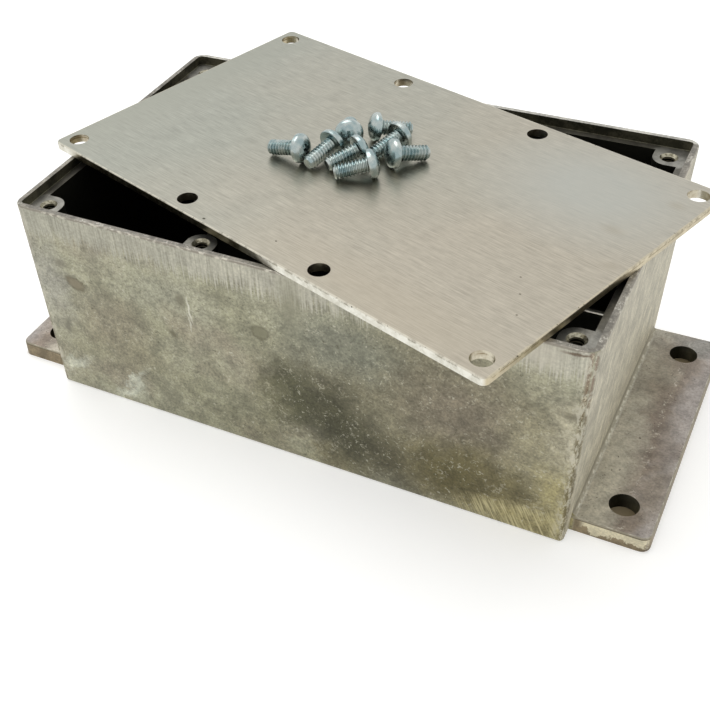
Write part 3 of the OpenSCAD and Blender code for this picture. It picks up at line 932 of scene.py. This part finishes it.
burr = region(tree, (edge, 0.35, 0.15), (w, -0.3, -0.1), (smudge, 0.38, 0.5), strength=0.7)
burr_tone = two_tone(tree, is_short, 0, 1, "#ddd8c8", "#cac1a8")
finish = lay(tree, finish, burr, burr_tone, RUBBED_ROUGH)
groove = region(tree, (edge, 0.1, 0.05), (w, -0.5, -0.3), (w, -0.12, -0.2), (smudge, 0.52, 0.44),
                strength=0.6)
finish = lay(tree, finish, groove, "#6f674f", DIRT_ROUGH)
scored = region(tree, (is_short, 0, 1), (sides, 0, 1), (w, -0.75, -0.65), (w, -0.45, -0.55),
                (smudge, 0.6, 0.5), strength=0.7)
finish = lay(tree, finish, scored, "#7a6a48", DIRT_ROUGH)
chips = add(tree, "TexNoise", {"Vector": local, "Scale": 1 / NICK_MM, "Detail": 3})
nicks = region(tree, (chips, 0.34, 0.28), (edge, 0.5, 0.2), (w, -0.6, -0.3))
finish = lay(tree, finish, nicks, "#4a4636", PIT_ROUGH)

relief = add(tree, "Math", [fine, LINE_HEIGHT], operation="MULTIPLY")
relief = add(tree, "Math", [nicks, NICK_HEIGHT, relief], operation="MULTIPLY_ADD")
bump = add(tree, "Bump", {"Strength": SHEET_BUMP, "Distance": SHEET_DEEP_MM * MM, "Height": relief})
metal = add(tree, "BsdfPrincipled", {"Base Color": finish[0], "Roughness": finish[1], "Metallic": 1,
                                     "Normal": bump})
add(tree, "OutputMaterial", {"Surface": metal})
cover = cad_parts["cover_plate"]
cover.data.materials.clear()
cover.data.materials.append(sheet)
print("cover:", len(tree.nodes), "nodes")

# %% [markdown]
# ## Screws: where they lie
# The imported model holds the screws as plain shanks, each an island of the mesh. Their places could
# be typed in, but reading them from the mesh keeps them right. A screw is longer than it is thick, so
# its surface spreads most along its axis, and the wider end is the head.

# %% Places of the screws
HEAD_H = 1.9
MERGE_MM = 0.001

plain = bmesh.new()
plain.from_mesh(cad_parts["cover_screws"].data)
bmesh.ops.remove_doubles(plain, verts=plain.verts, dist=MERGE_MM * MM)
places = []
waiting = set(plain.faces)
while waiting:
    island = {waiting.pop()}
    rim = set(island)
    while rim:
        rim = {near for face in rim for side in face.edges for near in side.link_faces} - island
        island |= rim
    waiting -= island
    weight = np.array([face.calc_area() for face in island])
    centres = np.array([face.calc_center_median() for face in island])
    mean = weight @ centres / weight.sum()
    spread = (centres - mean).T * weight @ (centres - mean)
    axis = np.linalg.eigh(spread)[1][:, -1]
    height = (centres - mean) @ axis
    radius = np.linalg.norm(centres - mean - np.outer(height, axis), axis=1)
    if weight @ (height * (radius - weight @ radius / weight.sum())) < 0:
        axis = -axis
    corners = np.array([vert.co for face in island for vert in face.verts])
    top = ((corners - mean) @ axis).max()
    seat = Vector(mean) + Vector(axis) * (top - HEAD_H * MM)
    places.append((seat, Vector(axis)))
plain.free()
places.sort(key=lambda place: tuple(place[0]))
print(len(places), "screws")

# %% [markdown]
# ## Screws: thread
# The screws have a coarse thread of forty turns to the inch. A Screw modifier could wind it. The
# spin operator does the same in one call: it turns the profile of one turn and moves it along the
# axis at each step. Planes then cut the ends square, and the tip is pulled in to a chamfer.

# %% Thread
THREAD_R = 1.42
THREAD_DEEP = 0.34
FLANK_SHARE, CREST_SHARE, ROOT_SHARE = 0.42, 0.55, 0.9
SCREW_LEN = 6.35
TIP_R = 1.0
INTO_HEAD = 0.1
STEPS_PER_TURN = 28


def profile(shape, points):
    """Adds a chain of edges through points of radius and height, and gives back its geometry."""
    verts = [shape.verts.new((radius * MM, 0, height * MM)) for radius, height in points]
    return verts + [shape.edges.new(pair) for pair in zip(verts, verts[1:])]


thread = bmesh.new()
turns = math.ceil(SCREW_LEN / THREAD_PITCH) + 2
foot = -SCREW_LEN - THREAD_PITCH
core = THREAD_R - THREAD_DEEP
tooth = profile(thread, [(core, foot), (THREAD_R, foot + FLANK_SHARE * THREAD_PITCH),
                         (THREAD_R, foot + CREST_SHARE * THREAD_PITCH),
                         (core, foot + ROOT_SHARE * THREAD_PITCH), (core, foot + THREAD_PITCH)])
bmesh.ops.spin(thread, geom=tooth, cent=(0, 0, 0), axis=(0, 0, 1),
               dvec=(0, 0, THREAD_PITCH * MM / STEPS_PER_TURN),
               angle=turns * math.tau, steps=turns * STEPS_PER_TURN)
bmesh.ops.remove_doubles(thread, verts=thread.verts, dist=2 * MERGE_MM * MM)
for height, way in ((-SCREW_LEN, -1), (INTO_HEAD, 1)):
    whole = thread.verts[:] + thread.edges[:] + thread.faces[:]
    bmesh.ops.bisect_plane(thread, geom=whole, dist=MERGE_MM * MM / 10, plane_co=(0, 0, height * MM),
                           plane_no=(0, 0, way), clear_outer=True)
for vert in thread.verts:
    limit = TIP_R * MM + (vert.co.z + SCREW_LEN * MM)
    radius = vert.co.xy.length
    if radius > limit:
        vert.co.xy *= limit / radius
open_edges = [edge for edge in thread.edges if edge.is_boundary]
bmesh.ops.holes_fill(thread, edges=open_edges, sides=0)
bmesh.ops.recalc_face_normals(thread, faces=thread.faces)
thread_mesh = as_mesh(thread, "thread")
print("thread", len(thread_mesh.polygons), "faces")

# %% [markdown]
# ## Screws: head
# A small pan head is a low dome with a short upright side. A squashed sphere has poles and no side,
# so the head is turned, as on a lathe: its profile is spun once round the axis.

# %% Head
HEAD_R = 2.7
HEAD_SIDE = 0.6
HEAD_BREAK = 0.12
DOME_STEP_DEG = 6
HEAD_STEPS = 64

head = bmesh.new()
dome = [(HEAD_R * math.cos(angle), HEAD_SIDE + (HEAD_H - HEAD_SIDE) * math.sin(angle))
        for angle in (math.radians(step) for step in range(0, 91, DOME_STEP_DEG))]
outline = profile(head, [(0, 0), (HEAD_R - HEAD_BREAK, 0), (HEAD_R, HEAD_BREAK)] + dome)
bmesh.ops.spin(head, geom=outline, cent=(0, 0, 0), axis=(0, 0, 1), angle=math.tau, steps=HEAD_STEPS,
               use_merge=True)
bmesh.ops.remove_doubles(head, verts=head.verts, dist=MERGE_MM * MM)
bmesh.ops.recalc_face_normals(head, faces=head.faces)
head_mesh = as_mesh(head, "pan_head")
print("head", len(head_mesh.polygons), "faces")

# %% [markdown]
# ## Screws: cross recess
# A punch presses the cross into the head. Bmesh has no operator that takes one solid from another,
# so a Boolean modifier does it: two tapered blades, one turned a quarter, are cut out of the dome.

# %% Cross recess
CROSS_SPAN = 2.4
CROSS_W = 0.7
CROSS_DEEP = 1.0
CROSS_TAPER = (0.6, 0.75, 1)

head_piece = put("pan_head", head_mesh)
blades = []
for arm in range(2):
    blade = bmesh.new()
    bmesh.ops.create_cube(blade, size=1)
    bmesh.ops.scale(blade, vec=(CROSS_SPAN * MM, CROSS_W * MM, 2 * CROSS_DEEP * MM), verts=blade.verts)
    low_end = [vert for vert in blade.verts if vert.co.z < 0]
    bmesh.ops.scale(blade, vec=CROSS_TAPER, verts=low_end)
    quarter = Matrix.Rotation(arm * math.pi / 2, 3, "Z")
    bmesh.ops.rotate(blade, cent=(0, 0, 0), matrix=quarter, verts=blade.verts)
    bmesh.ops.translate(blade, vec=(0, 0, HEAD_H * MM), verts=blade.verts)
    blades.append(put("cross_blade", as_mesh(blade, "cross_blade")))
    punch = head_piece.modifiers.new("cross", "BOOLEAN")
    punch.object = blades[-1]
    punch.solver = "EXACT"
punched = head_piece.evaluated_get(bpy.context.evaluated_depsgraph_get())
cut_mesh = bpy.data.meshes.new_from_object(punched)
for helper in blades + [head_piece]:
    bpy.data.objects.remove(helper)
print("head with its cross", len(cut_mesh.polygons), "faces")

# %% [markdown]
# ## Screws: laid on the cover
# Copies of the one screw are turned to the places found above. Eight objects would do, but the packed
# model has one node for all of them, so one piece stands for it. The arms of the cross lie level and
# upright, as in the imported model.

# %% Screws on the cover
SHARP_DEG = 38

pile = bmesh.new()
for seat, axis in places:
    level = axis.cross(Vector((0, 0, 1))).normalized()
    upper = level.cross(axis)
    place = Matrix.Translation(seat) @ Matrix((level, upper, axis)).transposed().to_4x4()
    for part in (thread_mesh, cut_mesh):
        before = len(pile.verts)
        pile.from_mesh(part)
        pile.verts.ensure_lookup_table()
        bmesh.ops.transform(pile, matrix=place, verts=pile.verts[before:])
screw_mesh = as_mesh(pile, "threaded_screws")
screw_mesh.shade_smooth()
screw_mesh.set_sharp_from_angle(angle=math.radians(SHARP_DEG))
screws = put("threaded_screws", screw_mesh)
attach(screws, "root")
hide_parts("cover_screws")
print("screws:", len(screw_mesh.polygons), "faces")

# %% [markdown]
# ## Screws: bright zinc
# The screws are steel with bright zinc plate, which its bath leaves a little uneven. One flat colour
# would look like plastic, so a fine noise runs between a bluer and a paler grey, and makes some
# places duller.

# %% Bright zinc plate
BATH_MM = 1.8

# Bright zinc gives the eye a smooth, slightly blue metal with sharp highlights
zinc, tree = new_material("bright_zinc_plate")
bath = add(tree, "TexNoise", {"Vector": place_in_mm(tree), "Scale": 1 / BATH_MM, "Detail": 3})
plate = two_tone(tree, bath, *CLOSE, "#93a5a6", "#bac1bd")
dull = add(tree, "MapRange", [bath, *WIDE, 0.18, 0.32])
metal = add(tree, "BsdfPrincipled", {"Base Color": plate, "Roughness": dull, "Metallic": 1})
add(tree, "OutputMaterial", {"Surface": metal})
screw_mesh.materials.append(zinc)
print("zinc:", len(tree.nodes), "nodes")
